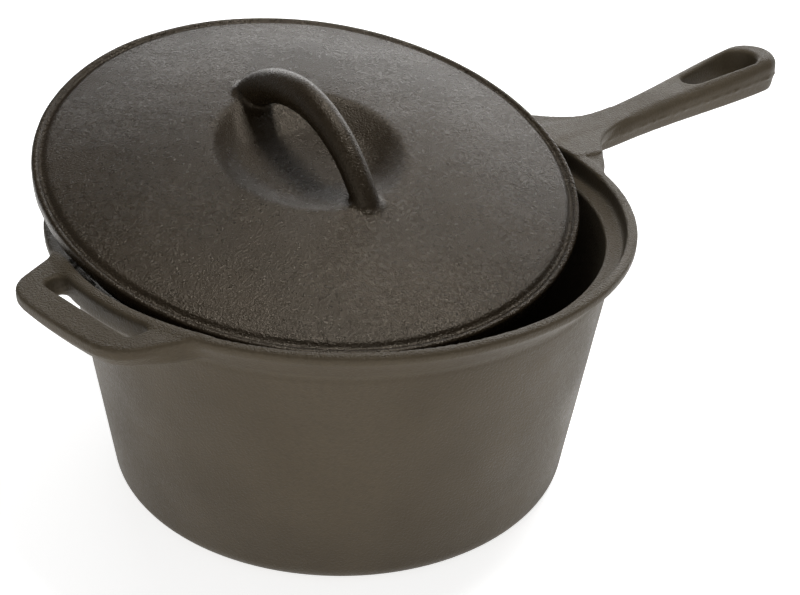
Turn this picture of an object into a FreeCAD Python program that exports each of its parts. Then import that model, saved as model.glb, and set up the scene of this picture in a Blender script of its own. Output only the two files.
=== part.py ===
import FreeCAD, Part
import math
import os

# Covered cast-iron pot with one long handle, a helper handle and a loose lid.
# Millimetres. Origin: centre of the flat base. +Z up, +X along the long handle.
V = FreeCAD.Vector
UP = V(0, 0, 1)

# --- driving dimensions -------------------------------------------------------
pot_height = 105.0
rim_radius = 108.0            # outside of the lip
lip_width = 4.0               # flat top of the lip
lip_depth = 3.2               # height of the outer band of the lip
flare_angle = 48.0            # slope of the outside where the wall spreads to the lip
flare_round = 5.0             # hollow curve at the foot of that flare
wall_top_radius = 100.4       # outside of the wall below the lip
base_radius = 89.0            # outside of the wall, run down to the base
base_round = 7.5
recess_depth = 6.6            # from the lip down to the ledge the lid sits on
recess_draft = 0.7            # how much the recess narrows towards the ledge
ledge_inner_radius = 97.0
floor_inner_radius = 84.8
floor_thickness = 5.0
floor_round = 9.0
wall_lean = 7.0               # degrees, used where the round corners meet the wall
edge_round = 1.0
wall_bite = 1.7               # how far outside the ledge's edge the handles begin

handle_tip = 262.0            # distance of the handle's end from the pot's axis
handle_root = 92.0            # inside the wall, where the shape is cut off
handle_root_half = 38.0
# Half widths of the handle at distances from the pot's axis: web, neck, wider end.
handle_widths = ((98.0, 37.5), (110.0, 27.2), (120.0, 18.6), (133.0, 11.6), (158.0, 8.8), (205.0, 11.0))
handle_end = 247.0            # where the flanks give way to the round end
handle_end_half = 13.8
handle_neck = 158.0
handle_thick = 12.5           # at the web, growing to the tip
handle_tip_thick = 16.5
handle_web_end = 112.0
handle_low = 142.0            # where the top of the handle is lowest
handle_dip = 0.8
handle_rise = 9.5            # how much higher the tip is than the lip
handle_web_lift = 0.8         # the web stands this much proud of the lip
handle_round = 3.2
hole_narrow = 205.5           # teardrop hanging hole: centre and radius of each end
hole_narrow_radius = 5.0
hole_wide = 243.2
hole_wide_radius = 9.2

tab_bearing = 185.2           # direction of the helper handle, degrees from +X
tab_reach = 126.9
tab_bow = 0.8                 # how far its outer edge bows outwards
tab_root_half = 41.9
tab_side_half = 31.8          # half width where each side ends and its corner begins
tab_corner_half = 26.4        # middle of the corner
tab_end_half = 17.2           # where the outer edge begins
tab_root = 90.0               # inside the wall, where the shape is cut off
tab_side = 115.8              # distances of those points from the pot's axis
tab_corner = 122.9
tab_thick = 8.0
tab_edge_round = 1.2
slot_root = 101.0
slot_half = 23.6
slot_inner_radius = 108.9
slot_outer = 114.6
slot_corner = 2.2

lid_radius = 102.5
lid_edge = 5.5                # height of the lid's side, under its bead
lid_bead_radius = 101.3
lid_bead_round = 1.2
lid_channel_radius = 99.2
lid_channel = 1.0
dome_edge_radius = 98.0
dome_rise = 8.0
lid_thick = 4.4
lid_seat_width = 6.0
dish_radius = 36.5
dish_floor_radius = 24.0
dish_floor = 0.9              # height of the dish's floor in the lid's own frame
dish_thick = 4.2
ramp_half = 18.5              # flat ramps under the two feet of the arch handle
ramp_foot = 16.5
ramp_top = 35.5
arch_radius = 48.0            # centre line of the arch handle
arch_crown = 25.2             # height of that line at the middle
arch_thick = 13.0
arch_wide = 11.4
arch_half_turn = 62.0         # degrees each side of the middle
arch_bearing = 87.0           # direction of the arch over the lid, from +X
dish_shift = V(1.0, 2.6, 0)   # the dish and its arch sit a little off the lid's centre

lid_centre = V(1.1, 19.6, 114.7)      # middle of the lid's bead as it rests askew
lid_axis = V(-0.049, -0.242, 0.969)   # the tilted lid's own upward axis


def revolve(points):
    """Solid of revolution about Z of a closed outline of (radius, height)."""
    loop = [V(r, 0, z) for r, z in points]
    face = Part.Face(Part.makePolygon(loop + [loop[0]]))
    return face.revolve(V(0, 0, 0), UP, 360)


def arc_points(centre, radius, start, end, steps=6):
    """Points along an arc in (radius, height), angles in degrees."""
    turn = [math.radians(start + (end - start) * i / steps) for i in range(steps + 1)]
    return [(centre[0] + radius * math.cos(a), centre[1] + radius * math.sin(a)) for a in turn]


def prism(wire_edges, low, high):
    """Closed plan outline, drawn at z = 0, made into a solid from low to high."""
    face = Part.Face(Part.Wire(Part.__sortEdges__(wire_edges)))
    solid = face.extrude(V(0, 0, high - low))
    solid.translate(V(0, 0, low))
    return solid


def line(a, b):
    return Part.LineSegment(a, b).toShape()


def arc(a, middle, b):
    return Part.Arc(a, middle, b).toShape()


def largest(shape):
    """The largest solid of a shape that a cut may have left in pieces."""
    return max(shape.Solids, key=lambda s: s.Volume)


def rounded(solid, wanted, radius):
    """Fillet the edges that `wanted` picks, trying smaller radii, or leave them sharp."""
    edges = [e for e in solid.Edges if wanted(e)]
    for share in (1.0, 0.8, 0.6, 0.4):
        try:
            result = solid.makeFillet(radius * share, edges)
        except Part.OCCError:
            continue
        reach = result.optimalBoundingBox().DiagonalLength
        inside = reach <= solid.optimalBoundingBox().DiagonalLength + 0.05
        if result.isValid() and inside and 0.8 * solid.Volume < result.Volume < solid.Volume:
            print("rounded", radius * share, len(edges), "edges")
            return result
    print("left sharp", radius)
    return solid


# --- pot ----------------------------------------------------------------------
def pot_body():
    slope = math.radians(flare_angle)
    lip_foot = pot_height - lip_depth
    flare_turn = 90 + flare_angle
    arc_end = flare_round * math.cos(math.radians(flare_turn))
    arc_rise = flare_round * math.sin(math.radians(flare_turn))
    flare_width = rim_radius - wall_top_radius - flare_round - arc_end
    flare_centre = lip_foot - flare_width * math.tan(slope) - arc_rise
    wall_slope = (wall_top_radius - base_radius) / flare_centre
    base_corner = (base_radius - base_round + wall_slope * base_round, base_round)
    floor_corner = (floor_inner_radius - floor_round, floor_thickness + floor_round)
    ledge = pot_height - recess_depth
    lip_inner = rim_radius - lip_width
    outline = [(0.0, 0.0)]
    outline += arc_points(base_corner, base_round, -90, -wall_lean)
    outline += arc_points((wall_top_radius + flare_round, flare_centre), flare_round,
                          180 + wall_lean, flare_turn)
    outline += [(rim_radius, lip_foot)]
    outline += arc_points((rim_radius - edge_round, pot_height - edge_round), edge_round, 0, 90, 3)
    outline += arc_points((lip_inner + edge_round, pot_height - edge_round), edge_round, 90, 180, 3)
    outline += arc_points((lip_inner - recess_draft - edge_round, ledge + edge_round), edge_round, 0, -90, 3)
    outline += arc_points((ledge_inner_radius + edge_round, ledge - edge_round), edge_round, 90, 180, 3)
    outline += arc_points(floor_corner, floor_round, -wall_lean, -90)
    outline += [(0.0, floor_thickness)]
    return revolve(outline)


def pot_core():
    """Everything inside the middle of the wall and of the lip, where no handle may reach."""
    ledge = pot_height - recess_depth
    below = Part.makeCylinder(ledge_inner_radius + wall_bite, ledge)
    above = Part.makeCylinder(rim_radius - lip_width + 1.0, 60, V(0, 0, ledge))
    return below.fuse(above)


def spline(points):
    curve = Part.BSplineCurve()
    curve.interpolate(points)
    return curve.toShape()


def handle_plan():
    """Plan outline of the long handle: flared web, neck, and rounded end."""
    root = handle_root
    edges = [line(V(root, handle_root_half, 0), V(root, -handle_root_half, 0))]
    for side in (1, -1):
        flank = [V(x, side * half, 0) for x, half in handle_widths]
        flank.append(V(handle_end, side * handle_end_half, 0))
        edges += [line(V(root, side * handle_root_half, 0), flank[0]), spline(flank)]
    near, far = (V(handle_end, side * handle_end_half, 0) for side in (1, -1))
    edges.append(arc(near, V(handle_tip, 0, 0), far))
    return edges


def handle_side():
    """Side outline of the long handle: a slight dip after the web, then a rise to the tip."""
    root = handle_root
    past_tip = handle_tip + 1.0
    web_top = pot_height + handle_web_lift
    low_top = pot_height - handle_dip
    tip_top = pot_height + handle_rise
    upper = Part.BSplineCurve()
    upper.interpolate([V(handle_web_end, 0, web_top), V(handle_low, 0, low_top), V(past_tip, 0, tip_top)])
    web_foot = web_top - handle_thick
    tip_foot = tip_top - handle_tip_thick
    edges = [
        line(V(root, 0, web_top), V(handle_web_end, 0, web_top)),
        upper.toShape(),
        line(V(past_tip, 0, tip_top), V(past_tip, 0, tip_foot)),
        line(V(past_tip, 0, tip_foot), V(handle_low, 0, web_foot)),
        line(V(handle_low, 0, web_foot), V(root, 0, web_foot)),
        line(V(root, 0, web_foot), V(root, 0, web_top)),
    ]
    face = Part.Face(Part.Wire(Part.__sortEdges__(edges)))
    half_room = 60.0
    face.translate(V(0, -half_room, 0))
    return face.extrude(V(0, 2 * half_room, 0))


def hanging_hole():
    """Teardrop through the end of the handle."""
    reach = hole_wide - hole_narrow
    lean = math.asin((hole_wide_radius - hole_narrow_radius) / reach)
    tilt = math.pi / 2 + lean
    ends = []
    for centre, radius in ((hole_narrow, hole_narrow_radius), (hole_wide, hole_wide_radius)):
        ends.append((V(centre + radius * math.cos(tilt), radius * math.sin(tilt), 0),
                     V(centre + radius * math.cos(tilt), -radius * math.sin(tilt), 0)))
    (na, nb), (wa, wb) = ends
    edges = [
        line(na, wa),
        arc(wa, V(hole_wide + hole_wide_radius, 0, 0), wb),
        line(wb, nb),
        arc(nb, V(hole_narrow - hole_narrow_radius, 0, 0), na),
    ]
    return prism(edges, pot_height - 30, pot_height + 30)


def long_handle(pot):
    bar = prism(handle_plan(), pot_height - 30, pot_height + 30).common(handle_side())
    bar = largest(bar)
    bar = rounded(bar, lambda e: e.BoundBox.XMax > handle_neck and e.BoundBox.YLength > 1.0
                  and e.BoundBox.XLength > 1.0 and e.BoundBox.XMin > rim_radius, handle_round)
    bar = bar.cut(hanging_hole()).cut(pot_core())
    return largest(bar.cut(pot))


def tab_plan():
    """Plan outline of the helper handle, pointing along +X."""
    edges = [line(V(tab_root, tab_root_half, 0), V(tab_root, -tab_root_half, 0))]
    end = tab_reach - tab_bow
    for side in (1, -1):
        root = V(tab_root, side * tab_root_half, 0)
        shoulder = V(tab_side, side * tab_side_half, 0)
        corner = V(tab_corner, side * tab_corner_half, 0)
        tip = V(end, side * tab_end_half, 0)
        edges += [line(root, shoulder), arc(shoulder, corner, tip)]
    edges.append(arc(V(end, tab_end_half, 0), V(tab_reach, 0, 0), V(end, -tab_end_half, 0)))
    return edges


def slot_cutter():
    """Finger slot between the lip and the bar of the helper handle."""
    block = Part.makeBox(slot_outer - slot_root, 2 * slot_half, 60)
    block.translate(V(slot_root, -slot_half, pot_height - 30))
    block = block.makeFillet(slot_corner, [e for e in block.Edges if e.BoundBox.ZLength > 50])
    return block.cut(Part.makeCylinder(slot_inner_radius, 80, V(0, 0, pot_height - 40)))


def helper_handle(pot):
    tab = prism(tab_plan(), pot_height - tab_thick, pot_height)
    tab = rounded(tab, lambda e: e.BoundBox.ZLength < 0.1 and e.BoundBox.XMax > tab_root + 1,
                  tab_edge_round)
    tab = tab.cut(slot_cutter()).cut(pot_core())
    tab.rotate(V(0, 0, 0), UP, tab_bearing)
    return largest(tab.cut(pot))


# --- lid, in its own frame: bead top at z = 0, its axis on +Z ----------------------
def dome_height(radius):
    return dome_rise * (1 - (radius / dome_edge_radius) ** 2)


def lid_blank():
    """Lid turned as one shell, with the thick floor that the dish is cut from."""
    steps = 9
    outline = [(0.0, dome_rise)]
    span = dome_edge_radius / steps
    outline += [(span * i, dome_height(span * i)) for i in range(1, steps)]
    outline += [(dome_edge_radius, -lid_channel * 0.4)]
    outline += [(lid_channel_radius, -lid_channel)]
    outline += arc_points((lid_bead_radius, -lid_bead_round), lid_bead_round, 160, 0, 5)
    outline += [(lid_radius, -lid_edge + 0.8), (lid_radius - 0.8, -lid_edge)]
    outline += [(lid_radius - lid_seat_width, -lid_edge)]
    inner = lid_radius - lid_seat_width - 1.5
    bulge = dish_floor_radius + dish_thick
    outline += [(r, dome_height(r) - lid_thick) for r in (inner, 80.0, 65.0, 50.0, 40.0)]
    outline += [(bulge, dish_floor - dish_thick), (0.0, dish_floor - dish_thick)]
    return revolve(outline)


def dish_cutter():
    """Round finger dish, with a flat ramp left standing under each foot."""
    top = dish_floor + (dome_rise - dish_floor) * 1.4
    rim = dome_height(dish_radius)
    slope = (dish_radius - dish_floor_radius) / (rim - dish_floor)
    wide = dish_floor_radius + slope * (top - dish_floor)
    cutter = Part.makeCone(dish_floor_radius, wide, top - dish_floor, V(0, 0, dish_floor))
    rim_at_ramp = dome_height(ramp_top)
    for side in (1, -1):
        low = V(side * ramp_foot, -ramp_half, dish_floor - 0.01)
        high = V(side * ramp_top, -ramp_half, rim_at_ramp)
        far = V(side * 60, -ramp_half, rim_at_ramp)
        base = V(side * 60, -ramp_half, dish_floor - 0.01)
        wedge = Part.Face(Part.makePolygon([low, high, far, base, low]))
        cutter = cutter.cut(wedge.extrude(V(0, 2 * ramp_half, 0)))
    return cutter


def arch_bar():
    """Arched bar over the dish, of oval section, both ends buried in the dome."""
    pivot = V(0, 0, arch_crown - arch_radius)
    section = Part.Face(Part.Wire([Part.Ellipse(V(0, 0, 0), arch_thick / 2, arch_wide / 2).toShape()]))
    section.rotate(V(0, 0, 0), V(0, 1, 0), 90)
    section.translate(V(0, 0, arch_crown))
    section.rotate(pivot, V(0, 1, 0), -arch_half_turn)
    return section.revolve(pivot, V(0, 1, 0), 2 * arch_half_turn)


def place_lid(shape):
    """Turn a lid-frame shape to the arch's bearing and lay it askew on the pot."""
    placed = shape.copy()
    placed.rotate(V(0, 0, 0), UP, arch_bearing)
    tilt = FreeCAD.Placement(lid_centre, FreeCAD.Rotation(UP, lid_axis))
    placed.Placement = tilt.multiply(placed.Placement)
    return placed


def lid_parts():
    blank = lid_blank()
    cutter = dish_cutter()
    cutter.translate(dish_shift)
    cover = largest(blank.cut(cutter))
    arch_body = arch_bar()
    arch_body.translate(dish_shift)
    bar = arch_body.cut(cover)
    bar = max(bar.Solids, key=lambda s: s.BoundBox.ZMax)
    return place_lid(cover), place_lid(bar)


def main():
    os.makedirs("parts", exist_ok=True)
    pot = pot_body()
    cover, bar = lid_parts()
    nodes = {
        "pot_body": pot,
        "long_handle": long_handle(pot),
        "helper_handle": helper_handle(pot),
        "lid_cover": cover,
        "lid_handle": bar,
    }
    for name, shape in nodes.items():
        box = shape.BoundBox
        print(name, shape.isValid(), len(shape.Solids), round(shape.Volume / 1000, 1), "cm3",
              [round(v, 1) for v in (box.XMin, box.XMax, box.YMin, box.YMax, box.ZMin, box.ZMax)])
        shape.exportStep("parts/" + name + ".step")
    print("lid to pot", round(cover.distToShape(pot)[0], 2), round(cover.common(pot).Volume, 1))
    print("lid to handle", round(cover.distToShape(nodes["long_handle"])[0], 2))
    print("lid to tab", round(cover.distToShape(nodes["helper_handle"])[0], 2))


main()
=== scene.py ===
import math

import bpy
import numpy as np
from mathutils import Matrix, Vector


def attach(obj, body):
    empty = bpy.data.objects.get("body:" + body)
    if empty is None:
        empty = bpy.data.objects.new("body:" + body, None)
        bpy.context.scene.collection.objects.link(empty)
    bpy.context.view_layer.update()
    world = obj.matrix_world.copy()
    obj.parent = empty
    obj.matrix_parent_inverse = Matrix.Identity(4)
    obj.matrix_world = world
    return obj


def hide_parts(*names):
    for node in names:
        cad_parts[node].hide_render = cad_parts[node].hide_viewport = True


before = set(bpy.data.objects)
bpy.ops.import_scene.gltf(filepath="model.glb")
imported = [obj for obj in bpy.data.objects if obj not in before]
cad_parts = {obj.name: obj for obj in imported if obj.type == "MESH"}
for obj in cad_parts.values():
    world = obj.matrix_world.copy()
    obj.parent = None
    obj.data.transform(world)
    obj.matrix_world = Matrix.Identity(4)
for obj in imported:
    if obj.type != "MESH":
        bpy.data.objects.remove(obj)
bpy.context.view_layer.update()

MM = 0.001

# --- sizes, in millimetres ---------------------------------------------------------
# Most are the CAD's. The web is thinner underneath here, the hanging hole smaller, the helper
# handle's outline freer, and the ledge meets the lip in a wider cove.
POT_HEIGHT = 105.0
RIM = 108.0
LIP_WIDTH = 4.0
LIP_DEPTH = 3.2
LEDGE_COVE = 3.0                         # fillet between ledge and lip, thickens the metal there
FLARE_ANGLE = 48.0
FLARE_ROUND = 5.0
WALL_TOP = 100.4
BASE = 89.0
BASE_ROUND = 7.5
RECESS = 6.6
RECESS_DRAFT = 0.2
LEDGE_INNER = 97.0
FLOOR_INNER = 84.8
FLOOR_THICK = 5.0
FLOOR_ROUND = 9.0

HANDLE_TIP = 261.9
HANDLE_END_HALF = 14.0
HANDLE_NECK_HALF = 9.2
WEB_FLARE = (34.0, 94.0, 28.5)           # extra half width, where it is reached, how fast it fades
WEB_THICK = 5.2
WEB_LIFT = 0.8
STEP_SLOPE = 0.225                       # the raised part of the web ends along these two radial lines
HANDLE_THICK = 12.5
HANDLE_TIP_THICK = 16.5
HANDLE_LOW = 142.0
HANDLE_DIP = 0.8
HANDLE_RISE = 9.5
HOLE = ((206.5, 4.6), (240.8, 8.4))      # distance and radius of each end of the teardrop

TAB_BEARING = 185.2
TAB_REACH = 126.8
TAB_THICK = 8.0
TAB_CORNER = 11.0
TAB_ROOT_HALF = 37.3
TAB_LEAN = 0.41                          # how fast its sides close in
SLOT_INNER = 108.9
SLOT_OUTER = 114.6
SLOT_HALF = 23.6

LID_RADIUS = 102.5
LID_EDGE = 5.5
BEAD = (101.25, 1.25)                    # radius of the ring, radius of its section
CHANNEL = 1.2
DOME_EDGE = 98.0
DOME_RISE = 8.0
LID_THICK = 4.4
DISH_RADIUS = 36.5
DISH_FLOOR_RADIUS = 24.0
DISH_FLOOR = 0.9
DISH_THICK = 4.2
RAMP_HALF = 18.5
RAMP_FOOT = 16.5
RAMP_TOP = 35.5
ARCH_RADIUS = 48.0
ARCH_CROWN = 23.6
ARCH_HALF_HIGH = 5.2
ARCH_HALF_WIDE = 5.7
ARCH_BEARING = 87.0
DISH_SHIFT = (1.0, 2.6)                  # the dish and its arch sit a little off the lid's centre
LID_CENTRE = Vector((1.1, 19.6, 114.7))
LID_AXIS = Vector((-0.049, -0.242, 0.969))


# --- distance fields: negative inside -----------------------------------------------
def smooth_step(t):
    t = np.clip(t, 0.0, 1.0)
    return t * t * (3.0 - 2.0 * t)


def merge(a, b, blend):
    """Union of two fields, with a fillet of about `blend` where they meet."""
    near = np.maximum(blend - np.abs(a - b), 0.0) / blend
    return np.minimum(a, b) - near * near * blend / 4.0


def common(a, b, blend):
    return -merge(-a, -b, blend)


def carve(a, b, blend):
    """a with b taken out, the edge rounded."""
    return common(a, -b, blend)


def outline_distance(points, x, y):
    """Signed distance to a closed outline."""
    best = np.full(x.shape, 1e9)
    odd = np.zeros(x.shape, bool)
    for (ax, ay), (bx, by) in zip(points, points[1:] + points[:1]):
        ex, ey = bx - ax, by - ay
        t = np.clip(((x - ax) * ex + (y - ay) * ey) / (ex * ex + ey * ey), 0.0, 1.0)
        best = np.minimum(best, (x - ax - t * ex) ** 2 + (y - ay - t * ey) ** 2)
        if ay != by:
            crosses = (ay > y) != (by > y)
            odd ^= crosses & (x < ax + (y - ay) * ex / ey)
    return np.sqrt(best) * np.where(odd, -1.0, 1.0)


def arc(centre, radius, start, end, step=6.0):
    count = max(2, int(abs(end - start) / step) + 1)
    angles = np.radians(np.linspace(start, end, count))
    return [(centre[0] + radius * math.cos(a), centre[1] + radius * math.sin(a)) for a in angles]


def ripple(x, y, z, waves):
    """Gentle unevenness of a sand casting: a few fixed waves, each (height, length, phase)."""
    total = np.zeros(np.shape(x)) + sum(height for height, _, _ in waves)
    for number, (height, length, phase) in enumerate(waves):
        turn = 2.4 * number + phase
        k = 2.0 * math.pi / length
        way = (math.cos(turn) * 0.9, math.sin(turn) * 0.9, 0.45 * math.cos(1.7 * turn))
        bend = 0.7 * np.sin(k * 0.37 * (x * way[1] - y * way[0]) + 3.1 * phase)
        total += height * np.sin(k * (x * way[0] + y * way[1] + z * way[2]) + phase + bend)
    return total


CAST_INSET = 0.05    # keeps the pot's skin just inside the CAD's
CAST_WAVES = ((0.10, 61.0, 0.3), (0.07, 37.0, 1.9), (0.05, 23.0, 4.1), (0.03, 13.0, 2.2), (0.02, 8.3, 5.3))


# --- pot ------------------------------------------------------------------------
def pot_profile():
    """Half section of the turned pot as (radius, height)."""
    lip_foot = POT_HEIGHT - LIP_DEPTH
    ledge = POT_HEIGHT - RECESS
    lip_inner = RIM - LIP_WIDTH
    turn = 90.0 + FLARE_ANGLE
    across = RIM - WALL_TOP - FLARE_ROUND * (1.0 + math.cos(math.radians(turn)))
    fall = across * math.tan(math.radians(FLARE_ANGLE)) + FLARE_ROUND * math.sin(math.radians(turn))
    flare_centre = lip_foot - fall
    slope = (WALL_TOP - BASE) / flare_centre
    base_corner = (BASE - BASE_ROUND + slope * BASE_ROUND, BASE_ROUND)
    floor_corner = (FLOOR_INNER - FLOOR_ROUND, FLOOR_THICK + FLOOR_ROUND)
    points = [(-20.0, 0.0)]
    points += arc(base_corner, BASE_ROUND, -90, -7)
    points += arc((WALL_TOP + FLARE_ROUND, flare_centre), FLARE_ROUND, 187, turn)
    points += arc((RIM - 1.3, lip_foot + 0.7), 1.3, -42, 0, 14)
    points += arc((RIM - 1.1, POT_HEIGHT - 1.1), 1.1, 0, 90, 15)
    points += arc((lip_inner + 0.9, POT_HEIGHT - 0.9), 0.9, 90, 180, 18)
    points += arc((lip_inner - RECESS_DRAFT - LEDGE_COVE, ledge + LEDGE_COVE), LEDGE_COVE, 0, -90, 30)
    points += arc((LEDGE_INNER + 1.2, ledge - 1.2), 1.2, 90, 187, 16)
    points += arc(floor_corner, FLOOR_ROUND, -7, -90)
    points += [(-20.0, FLOOR_THICK)]
    return points


def slab(edge, low, high, z, rounding):
    """A plate whose plan outline is `edge`, from low to high, with rounded edges."""
    side = edge + rounding
    flat = np.maximum(low - z, z - high) + rounding
    out = np.hypot(np.maximum(side, 0.0), np.maximum(flat, 0.0))
    return out + np.minimum(np.maximum(side, flat), 0.0) - rounding


def handle_top(x, y=0.0):
    """Height of the long handle's upper face: level web, slight dip, then a rise to the tip."""
    web = WEB_LIFT - (WEB_LIFT + HANDLE_DIP) * smooth_step((x - RIM - 2.0) / 32.0)
    web = web - WEB_LIFT * smooth_step((np.abs(y) - STEP_SLOPE * x) / 1.2) * smooth_step((124.0 - x) / 8.0)
    rise = np.clip((x - HANDLE_LOW) / (HANDLE_TIP - HANDLE_LOW), 0.0, 1.2)
    return POT_HEIGHT + web + (HANDLE_RISE + HANDLE_DIP) * rise ** 1.15


def handle_foot(x):
    foot = POT_HEIGHT + WEB_LIFT - HANDLE_THICK
    tip_foot = POT_HEIGHT + HANDLE_RISE - HANDLE_TIP_THICK
    rise = np.clip((x - HANDLE_LOW) / (HANDLE_TIP - HANDLE_LOW), 0.0, 1.2)
    return foot + (tip_foot - foot) * rise


def teardrop(x, y):
    """Distance to the hanging hole's outline."""
    (narrow, small), (wide, large) = HOLE
    reach = wide - narrow
    lean = (small - large) / reach
    upright = math.sqrt(1.0 - lean * lean)
    px, py = np.abs(y), x - narrow
    along = py * upright - px * lean
    side = px * upright + py * lean - small
    side = np.where(along < 0.0, np.hypot(px, py) - small, side)
    return np.where(along > reach * upright, np.hypot(px, py - reach) - large, side)


def long_handle(x, y, z):
    end = HANDLE_TIP - HANDLE_END_HALF
    swell = smooth_step((x - 158.0) / (end - 158.0))
    half = HANDLE_NECK_HALF + (HANDLE_END_HALF - HANDLE_NECK_HALF) * swell
    half = half + 2.4 * smooth_step((140.0 - x) / 40.0)
    edge = np.where(x > end, np.hypot(x - end, y) - HANDLE_END_HALF, np.abs(y) - half)
    top, foot = handle_top(x, y), handle_foot(x)
    parting = foot + 0.48 * (top - foot)
    fin = 0.45 * np.exp(-(((z - parting) / 0.6) ** 2))
    fin = fin * (0.7 + 0.5 * np.sin(0.9 * x + 1.3 * np.sin(0.37 * x)))
    draft = 0.12 * np.maximum(parting - z, 0.0) + 0.06 * np.maximum(z - parting, 0.0)
    rounding = 1.6 + 3.4 * smooth_step((z - parting) / 3.0 + 0.5)
    bar = slab(edge + draft - fin, foot, top, z, rounding)
    extra, full, fade = WEB_FLARE
    past = np.maximum(x - full, 0.0)
    flare = extra * np.exp(-((past / fade) ** 2))
    steep = np.sqrt(1.0 + (flare * 2.0 * past / fade ** 2) ** 2)
    flank = (np.abs(y) - HANDLE_NECK_HALF + 2.5 - flare) / steep
    web = slab(np.maximum(flank, x - 158.0), top - 0.1 - WEB_THICK, top - 0.1, z, 1.3)
    handle = merge(bar, web, 0.2 + 1.6 * smooth_step((146.0 - x) / 24.0))
    core = np.where(z > POT_HEIGHT - RECESS, RIM - LIP_WIDTH + 0.3, LEDGE_INNER + 1.7) - np.hypot(x, y)
    handle = np.maximum(handle, core)
    return carve(handle, teardrop(x, y) - 0.6 + 0.21 * (top - z), 1.8)


def helper_handle(x, y, z):
    turn = math.radians(TAB_BEARING)
    u = x * math.cos(turn) + y * math.sin(turn)
    v = -x * math.sin(turn) + y * math.cos(turn)
    steep = math.hypot(1.0, TAB_LEAN)
    side = (np.abs(v) - TAB_ROOT_HALF + TAB_LEAN * (u - 102.0)) / steep + TAB_CORNER
    front = u - TAB_REACH + TAB_CORNER
    edge = np.hypot(np.maximum(side, 0.0), np.maximum(front, 0.0))
    edge = edge + np.minimum(np.maximum(side, front), 0.0) - TAB_CORNER
    edge = common(edge, np.hypot(u, v) - TAB_REACH - 0.4, 3.0)
    bevel = 0.75 * np.maximum(POT_HEIGHT - 3.6 - z, 0.0) * smooth_step((u - 106.0) / 14.0)
    plate = slab(edge + bevel, POT_HEIGHT - TAB_THICK, POT_HEIGHT, z, 1.1)
    core = np.where(z > POT_HEIGHT - RECESS, RIM - 2.5, LEDGE_INNER + 1.7) - np.hypot(x, y)
    plate = np.maximum(plate, core)
    slot = common(common(SLOT_INNER - np.hypot(u, v), u - SLOT_OUTER, 2.5), np.abs(v) - SLOT_HALF, 4.0)
    return plate, slot


PROFILE = pot_profile()


def pot_field(x, y, z):
    r = np.hypot(x, y)
    bowl = outline_distance(PROFILE, r, z)
    field = bowl
    right = x > 90.0
    if right.any():
        arm = np.full(x.shape, 60.0)
        arm[right] = long_handle(x[right], y[right], z[right])
        field = merge(field, arm, 2.4)
    left = x < -80.0
    if left.any():
        plate, slot = np.full(x.shape, 60.0), np.full(x.shape, 60.0)
        plate[left], slot[left] = helper_handle(x[left], y[left], z[left])
        field = carve(merge(field, plate, 2.6), slot, 1.6)
    # The waves die out at the foot, which stands flat, and at the thin metal under the lip.
    where = smooth_step(z / 12.0) * smooth_step((94.0 - z) / 8.0)
    return field + CAST_INSET + 0.3 * ripple(x, y, z, CAST_WAVES) * where


# --- lid, in its own frame: top of the bead at z = 0, arch along X ---------------------
def dome(r):
    return DOME_RISE * (1.0 - (r / DOME_EDGE) ** 2)


def lid_top(x, y):
    """Height of the lid's upper surface: dome with its finger dish and ramps, then the channel."""
    r = np.hypot(x - DISH_SHIFT[0], y - DISH_SHIFT[1])
    rim = dome(DISH_RADIUS)
    wall = DISH_FLOOR + (rim - DISH_FLOOR) * (r - DISH_FLOOR_RADIUS) / (DISH_RADIUS - DISH_FLOOR_RADIUS)
    bowl = common(wall, np.full(np.shape(x), DISH_FLOOR) + 0.0008 * r * r, 1.2)
    climb = (dome(RAMP_TOP) - DISH_FLOOR) / (RAMP_TOP - RAMP_FOOT)
    ramp = DISH_FLOOR + climb * (np.abs(x - DISH_SHIFT[0]) - RAMP_FOOT)
    ramp = ramp - 1.6 * np.maximum(np.abs(y - DISH_SHIFT[1]) - RAMP_HALF, 0.0)
    dish = common(bowl, ramp, 0.2)
    r = np.hypot(x, y)
    top = merge(dome(r), dish, 1.0)
    fall = smooth_step((r - DOME_EDGE + 1.0) / 2.2)
    return top * (1.0 - fall) - CHANNEL * fall


def lid_under(x, y):
    r = np.hypot(x, y)
    bulge = DISH_FLOOR - DISH_THICK + 0.42 * np.maximum(r - DISH_FLOOR_RADIUS - 3.0, 0.0)
    under = merge(dome(r) - LID_THICK, bulge, 3.0)
    seat = smooth_step((r - 94.0) / 2.6)
    return under * (1.0 - seat) - LID_EDGE * seat


def arch(x, y, z, under):
    x, y = x - DISH_SHIFT[0], y - DISH_SHIFT[1]
    centre = ARCH_CROWN - ARCH_RADIUS
    grow = 2.8 * smooth_step((x + 34.0) / 44.0)
    out = np.hypot(x, z - centre) - ARCH_RADIUS - grow / 2.0
    high = ARCH_HALF_HIGH * (1.03 - 0.10 * np.clip(-x / 33.0, 0.0, 1.0)) + grow / 2.0
    wide = ARCH_HALF_WIDE * (1.0 + 0.09 * np.clip(x / 33.0, -1.0, 1.0))
    bar = (np.sqrt((out / high) ** 2 + (y / wide) ** 2) - 1.0) * np.minimum(high, wide)
    return np.maximum(bar, under + 1.5 - z)


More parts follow.
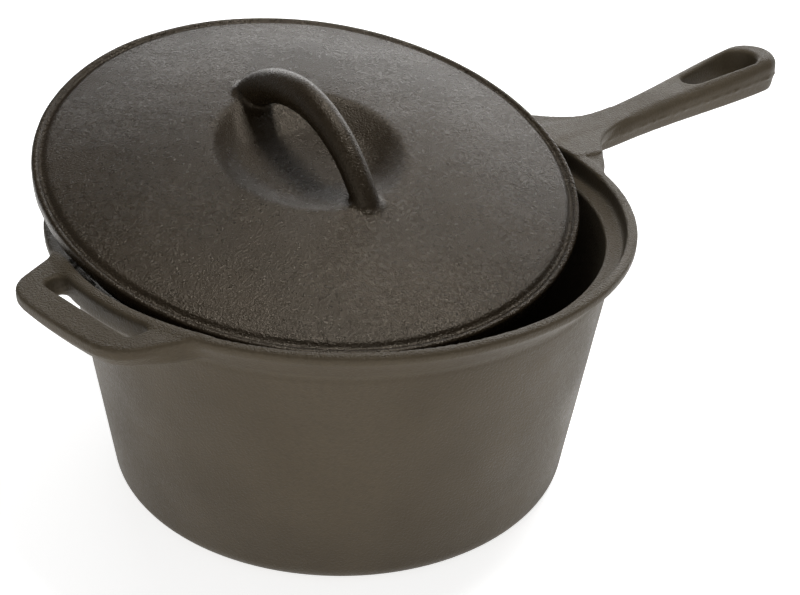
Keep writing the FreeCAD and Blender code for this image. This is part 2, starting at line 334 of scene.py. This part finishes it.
def lid_field(x, y, z):
    r = np.hypot(x, y)
    top, under = lid_top(x, y), lid_under(x, y)
    shell = np.maximum((z - top) * 0.93, (under - z) * 0.93)
    skirt = common(r - LID_RADIUS - 0.02 * (z + LID_EDGE), -LID_EDGE - z, 1.4)
    shell = common(shell, skirt, 1.0)
    bead = np.hypot(r - BEAD[0], z + BEAD[1]) - BEAD[1]
    shell = merge(shell, bead, 0.7)
    bar = arch(x, y, z, under)
    ragged = 0.15 + ripple(x, y, z, ((0.22, 5.1, 0.4), (0.18, 2.9, 1.3)))
    flash = np.hypot(bar - 0.5, z - top - 0.15) - np.maximum(ragged, 0.12)
    flash = np.where(np.abs(x) > 22.0, flash, 5.0)
    body = merge(shell, bar, 1.5)
    body = merge(body, flash, 0.5)
    return body + ripple(x, y, z, CAST_WAVES) * 0.45


# --- from field to mesh ------------------------------------------------------------
def sample(field, axes, block=8, chunk=400000):
    """The field on a grid, worked out only in the blocks that the surface may cross."""
    counts = [math.ceil(len(a) / block) for a in axes]
    middle, half = [], []
    for axis, count in zip(axes, counts):
        ends = [(axis[i * block], axis[min((i + 1) * block, len(axis) - 1)]) for i in range(count)]
        middle.append(np.array([(a + b) / 2 for a, b in ends]))
        half.append(np.array([(b - a) / 2 for a, b in ends]))
    mx, my, mz = np.meshgrid(*middle, indexing="ij")
    hx, hy, hz = np.meshgrid(*half, indexing="ij")
    rough = field(mx.ravel(), my.ravel(), mz.ravel()).reshape(mx.shape)
    active = np.abs(rough) < 1.35 * np.sqrt(hx ** 2 + hy ** 2 + hz ** 2) + 1.5

    def spread(values):
        for axis in range(3):
            values = np.repeat(values, block, axis)
        return values[:len(axes[0]), :len(axes[1]), :len(axes[2])]

    volume = spread(rough).astype(float)
    where = np.nonzero(spread(active))
    for start in range(0, len(where[0]), chunk):
        part = tuple(w[start:start + chunk] for w in where)
        volume[part] = field(*(axis[w] for axis, w in zip(axes, part)))
    return volume


def net(volume, axes):
    """Surface net: one point in each cell that the surface crosses, one quad across each edge."""
    inside = volume < 0.0
    cells = tuple(n - 1 for n in volume.shape)
    total = np.zeros(cells, np.int8)
    for dx in (0, 1):
        for dy in (0, 1):
            for dz in (0, 1):
                total += inside[dx:dx + cells[0], dy:dy + cells[1], dz:dz + cells[2]]
    mixed = (total > 0) & (total < 8)
    number = np.full(cells, -1, np.int64)
    number[mixed] = np.arange(mixed.sum())
    cell = np.stack(np.nonzero(mixed), 1)
    place, hits = np.zeros((len(cell), 3)), np.zeros(len(cell))
    for axis in range(3):
        u, v = (axis + 1) % 3, (axis + 2) % 3
        for du in (0, 1):
            for dv in (0, 1):
                a = cell.copy()
                a[:, u] += du
                a[:, v] += dv
                b = a.copy()
                b[:, axis] += 1
                va, vb = volume[tuple(a.T)], volume[tuple(b.T)]
                cross = (va < 0) != (vb < 0)
                t = np.where(cross, va / np.where(cross, va - vb, 1.0), 0.0)
                for i in range(3):
                    pa, pb = axes[i][a[:, i]], axes[i][b[:, i]]
                    place[:, i] += np.where(cross, pa + t * (pb - pa), 0.0)
                hits += cross
    quads = []
    for axis in range(3):
        u, v = (axis + 1) % 3, (axis + 2) % 3
        low = [slice(None)] * 3
        high = [slice(None)] * 3
        low[axis], high[axis] = slice(0, -1), slice(1, None)
        edge = np.stack(np.nonzero(inside[tuple(low)] != inside[tuple(high)]), 1)
        corners = []
        for du, dv in ((1, 1), (0, 1), (0, 0), (1, 0)):
            c = edge.copy()
            c[:, u] -= du
            c[:, v] -= dv
            corners.append(number[tuple(c.T)])
        quad = np.stack(corners, 1)
        flip = ~inside[tuple(edge.T)]
        quad[flip] = quad[flip][:, ::-1]
        quads.append(quad)
    return place / hits[:, None], np.concatenate(quads)


def settle(field, points, reach):
    """Moves each point along the field's slope onto the surface."""
    step = 0.02
    x, y, z = points.T
    here = field(x, y, z)
    slope = np.stack([field(x + step, y, z), field(x, y + step, z), field(x, y, z + step)], 1)
    slope = (slope - here[:, None]) / step
    size = np.maximum((slope ** 2).sum(1), 0.05)
    move = slope * (here / size)[:, None]
    length = np.linalg.norm(move, axis=1)
    return points - move * np.minimum(1.0, reach / np.maximum(length, 1e-9))[:, None]


def even_out(points, quads, share):
    """Moves each point towards the middle of its neighbours."""
    a = quads.ravel()
    b = np.roll(quads, -1, axis=1).ravel()
    count = np.bincount(a, minlength=len(points)) + np.bincount(b, minlength=len(points))
    total = np.zeros_like(points)
    for i in range(3):
        total[:, i] = np.bincount(a, points[b, i], len(points)) + np.bincount(b, points[a, i], len(points))
    return points + share * (total / count[:, None] - points)


def grid(*stretches):
    """Grid lines over stretches given as (start, end, spacing)."""
    lines = [np.linspace(a, b, max(2, round((b - a) / s) + 1))[:-1] for a, b, s in stretches]
    return np.concatenate(lines + [np.array([stretches[-1][1]])])


def cast(name, field, axes, place):
    """Meshes a field given in millimetres and makes the object in the row's frame."""
    points, quads = net(sample(field, axes), axes)
    for share in (0.0, 0.5, 0.5, 0.3):
        points = settle(field, even_out(points, quads, share), 0.8)
    points = settle(field, points, 0.4)
    matrix = np.array(place)
    points = (points @ matrix[:3, :3].T + matrix[:3, 3]) * MM
    mesh = bpy.data.meshes.new(name)
    mesh.from_pydata(points.tolist(), [], quads.tolist())
    mesh.validate()
    mesh.polygons.foreach_set("use_smooth", np.ones(len(mesh.polygons), bool))
    mesh.update()
    thing = bpy.data.objects.new(name, mesh)
    bpy.context.scene.collection.objects.link(thing)
    print(name, len(mesh.vertices), "points", len(mesh.polygons), "faces")
    return thing


# Where the pot's metal is thin, under the lip and in the handles, the cells are smallest: a wall
# thinner than a cell would come out pierced.
POT_AXES = (
    grid((-131, -99, 1.2), (-99, 100, 1.3), (100, 267, 1.1)),
    grid((-111, -30, 1.3), (-30, 30, 1.2), (30, 111, 1.3)),
    grid((-2, 16, 1.3), (16, 84, 2.4), (84, 118, 0.8)),
)
LID_AXES = (grid((-104.6, 104.6, 1.15)), grid((-104.6, 104.6, 1.15)), grid((-8, 34, 0.8)))


# --- materials ------------------------------------------------------------------
def cast_iron(name, dark, light, rough, grain, grain_size, coarser_tops):
    """Seasoned sand-cast iron: mottled colour, pebbled grain, pits, and edges rubbed smoother and painted
    lighter, the lighter colour part edge wear and part painted highlight.

    grain is the bump's height and grain_size its pebbles' size, in millimetres; coarser_tops
    deepens the grain on faces that look up.
    """
    material = bpy.data.materials.new(name)
    material.use_nodes = True
    nodes, links = material.node_tree.nodes, material.node_tree.links
    nodes.clear()
    out = nodes.new("ShaderNodeOutputMaterial")
    shader = nodes.new("ShaderNodeBsdfPrincipled")
    links.new(shader.outputs["BSDF"], out.inputs["Surface"])
    where = nodes.new("ShaderNodeTexCoord").outputs["Object"]

    def noise(scale, detail, roughness=0.5, distortion=0.0):
        node = nodes.new("ShaderNodeTexNoise")
        node.inputs["Scale"].default_value = scale
        node.inputs["Detail"].default_value = detail
        node.inputs["Roughness"].default_value = roughness
        node.inputs["Distortion"].default_value = distortion
        links.new(where, node.inputs["Vector"])
        return node.outputs["Fac"]

    def ramp(value, low, high, start=0.0, end=1.0):
        node = nodes.new("ShaderNodeMapRange")
        node.interpolation_type = "SMOOTHSTEP"
        node.inputs["From Min"].default_value = low
        node.inputs["From Max"].default_value = high
        node.inputs["To Min"].default_value = start
        node.inputs["To Max"].default_value = end
        links.new(value, node.inputs["Value"])
        return node.outputs["Result"]

    def sum_of(a, b, operation="ADD"):
        node = nodes.new("ShaderNodeMath")
        node.operation = operation
        for socket, value in zip(node.inputs, (a, b)):
            if isinstance(value, float):
                socket.default_value = value
            else:
                links.new(value, socket)
        return node.outputs["Value"]

    def mix(factor, a, b):
        node = nodes.new("ShaderNodeMix")
        node.data_type = "RGBA"
        links.new(factor, node.inputs["Factor"])
        for socket, value in ((node.inputs["A"], a), (node.inputs["B"], b)):
            if isinstance(value, tuple):
                socket.default_value = (*value, 1.0)
            else:
                links.new(value, socket)
        return node.outputs["Result"]

    patches = ramp(noise(22.0, 3.0), 0.3, 0.72)
    speckle = ramp(noise(650.0, 2.0), 0.3, 0.75)
    colour = mix(patches, dark, light)
    fleck = tuple(0.72 * v for v in dark)
    colour = mix(sum_of(speckle, 0.45, "MULTIPLY"), colour, fleck)
    geometry = nodes.new("ShaderNodeNewGeometry")
    edge = ramp(geometry.outputs["Pointiness"], 0.54, 0.64)
    split = nodes.new("ShaderNodeSeparateXYZ")
    links.new(geometry.outputs["Normal"], split.inputs["Vector"])
    upward = ramp(split.outputs["Z"], 0.75, 0.95)
    # Sharp edges get a lighter colour: part edge wear, part painted highlight.
    wear_and_highlight_colour = tuple(1.25 * v for v in light)
    colour = mix(sum_of(edge, 0.5, "MULTIPLY"), colour, wear_and_highlight_colour)
    links.new(colour, shader.inputs["Base Color"])

    smears = noise(28.0, 3.0)
    roughness = ramp(smears, 0.3, 0.72, rough[0], rough[1])
    roughness = sum_of(roughness, sum_of(edge, 0.08, "MULTIPLY"), "SUBTRACT")
    roughness = sum_of(roughness, sum_of(speckle, 0.10, "MULTIPLY"), "SUBTRACT")
    links.new(roughness, shader.inputs["Roughness"])
    shader.inputs["Specular IOR Level"].default_value = 0.34
    shader.inputs["Specular Tint"].default_value = (1.0, 0.86, 0.68, 1.0)

    pebbles = noise(1000.0 / grain_size, 1.0, 0.5)
    fine = noise(2300.0 / grain_size, 1.0)
    lumps = noise(130.0, 3.0, 0.5)
    pits = nodes.new("ShaderNodeTexVoronoi")
    pits.inputs["Scale"].default_value = 120.0
    links.new(where, pits.inputs["Vector"])
    hollow = ramp(pits.outputs["Distance"], 0.04, 0.13)
    height = sum_of(pebbles, sum_of(fine, 0.5, "MULTIPLY"))
    height = sum_of(height, sum_of(lumps, 0.35, "MULTIPLY"))
    height = sum_of(height, sum_of(hollow, 0.12, "MULTIPLY"))
    height = sum_of(height, sum_of(sum_of(upward, coarser_tops, "MULTIPLY"), 1.0), "MULTIPLY")
    bump = nodes.new("ShaderNodeBump")
    bump.inputs["Strength"].default_value = 1.0
    bump.inputs["Distance"].default_value = grain * MM
    links.new(height, bump.inputs["Height"])
    links.new(bump.outputs["Normal"], shader.inputs["Normal"])
    return material


# --- stage, lights and camera -----------------------------------------------------
CAMERA_BEARING = -42.5       # degrees round from looking along +Y
CAMERA_RISE = 29.43
CAMERA_ROLL = 2.42
CAMERA_AIM = (22.2, 65.9)    # aim point: to the right of the pot's axis, and up
CAMERA_DISTANCE = 511.0
CAMERA_LENS = 59.83
PANEL_AIM = 0.08             # metres above the floor, the point that the lights face
FLOOR_SIDE = 6.0             # metres from the middle to each edge


def facing(bearing):
    return Matrix.Rotation(math.radians(bearing), 3, "Z")


def add_camera():
    rise, roll = math.radians(CAMERA_RISE), math.radians(CAMERA_ROLL)
    turn = facing(CAMERA_BEARING)
    back = turn @ Vector((0.0, -math.cos(rise), math.sin(rise)))
    right = turn @ Vector((1.0, 0.0, 0.0))
    up = turn @ Vector((0.0, math.sin(rise), math.cos(rise)))
    across = right * math.cos(roll) + up * math.sin(roll)
    upward = up * math.cos(roll) - right * math.sin(roll)
    aim = turn @ Vector((CAMERA_AIM[0], 0.0, CAMERA_AIM[1]))
    data = bpy.data.cameras.new("camera")
    data.lens, data.sensor_width = CAMERA_LENS, 36.0
    data.clip_start, data.clip_end = 0.02, 20.0
    camera = bpy.data.objects.new("camera", data)
    bpy.context.scene.collection.objects.link(camera)
    matrix = Matrix((across, upward, back)).transposed().to_4x4()
    matrix.translation = (aim + back * CAMERA_DISTANCE) * MM
    camera.matrix_world = matrix
    bpy.context.scene.camera = camera


def add_panel(name, bearing, rise, distance, size, power):
    """Soft rectangular light. Bearing 0 is the camera's side, 180 behind the pot."""
    turn = facing(CAMERA_BEARING + bearing)
    lift = math.radians(rise)
    way = turn @ Vector((0.0, -math.cos(lift), math.sin(lift)))
    data = bpy.data.lights.new(name, "AREA")
    data.shape = "RECTANGLE"
    data.size, data.size_y = size
    data.energy = power
    lamp = bpy.data.objects.new(name, data)
    bpy.context.scene.collection.objects.link(lamp)
    lamp.location = way * distance + Vector((0.0, 0.0, PANEL_AIM))
    lamp.rotation_mode = "QUATERNION"
    lamp.rotation_quaternion = way.to_track_quat("Z", "Y")


def add_floor():
    mesh = bpy.data.meshes.new("floor")
    corners = [(FLOOR_SIDE * x, FLOOR_SIDE * y, 0.0) for x, y in ((-1, -1), (1, -1), (1, 1), (-1, 1))]
    mesh.from_pydata(corners, [], [(0, 1, 2, 3)])
    floor = bpy.data.objects.new("floor", mesh)
    bpy.context.scene.collection.objects.link(floor)
    material = bpy.data.materials.new("floor")
    material.use_nodes = True
    shader = material.node_tree.nodes["Principled BSDF"]
    shader.inputs["Base Color"].default_value = (0.93, 0.93, 0.925, 1.0)
    shader.inputs["Roughness"].default_value = 0.9
    shader.inputs["Specular IOR Level"].default_value = 0.1
    shader.inputs["Emission Color"].default_value = (1.0, 1.0, 1.0, 1.0)
    shader.inputs["Emission Strength"].default_value = 0.75
    mesh.materials.append(material)


def add_world():
    world = bpy.data.worlds.new("studio")
    bpy.context.scene.world = world
    world.use_nodes = True
    sky = world.node_tree.nodes["Background"]
    sky.inputs["Color"].default_value = (1.0, 1.0, 1.0, 1.0)
    sky.inputs["Strength"].default_value = 0.22


# --- the object ------------------------------------------------------------------
bpy.context.scene.view_settings.view_transform = "Standard"
pot_iron = cast_iron("pot_iron", dark=(0.048, 0.037, 0.023), light=(0.064, 0.050, 0.032),
                     rough=(0.50, 0.60), grain=0.22, grain_size=0.80, coarser_tops=1.8)
lid_iron = cast_iron("lid_iron", dark=(0.013, 0.0085, 0.004), light=(0.024, 0.016, 0.0085),
                     rough=(0.30, 0.37), grain=0.26, grain_size=0.70, coarser_tops=0.0)

pot = cast("pot", pot_field, POT_AXES, Matrix.Identity(4))
pot.data.materials.append(pot_iron)
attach(pot, "pot")
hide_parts("pot_body", "long_handle", "helper_handle")

lid_place = Matrix.Translation(LID_CENTRE)
lid_place @= Vector((0, 0, 1)).rotation_difference(LID_AXIS).to_matrix().to_4x4()
lid_place @= Matrix.Rotation(math.radians(ARCH_BEARING), 4, "Z")
lid = cast("lid", lid_field, LID_AXES, lid_place)
lid.data.materials.append(lid_iron)
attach(lid, "lid")
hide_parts("lid_cover", "lid_handle")

add_floor()
add_world()
add_camera()
add_panel("overhead", 128.0, 73.0, 1.5, (0.42, 0.36), 14.0)
add_panel("back", 172.0, 14.0, 2.4, (3.2, 0.9), 30.0)
add_panel("front", -15.0, 8.0, 2.2, (2.2, 0.6), 9.0)
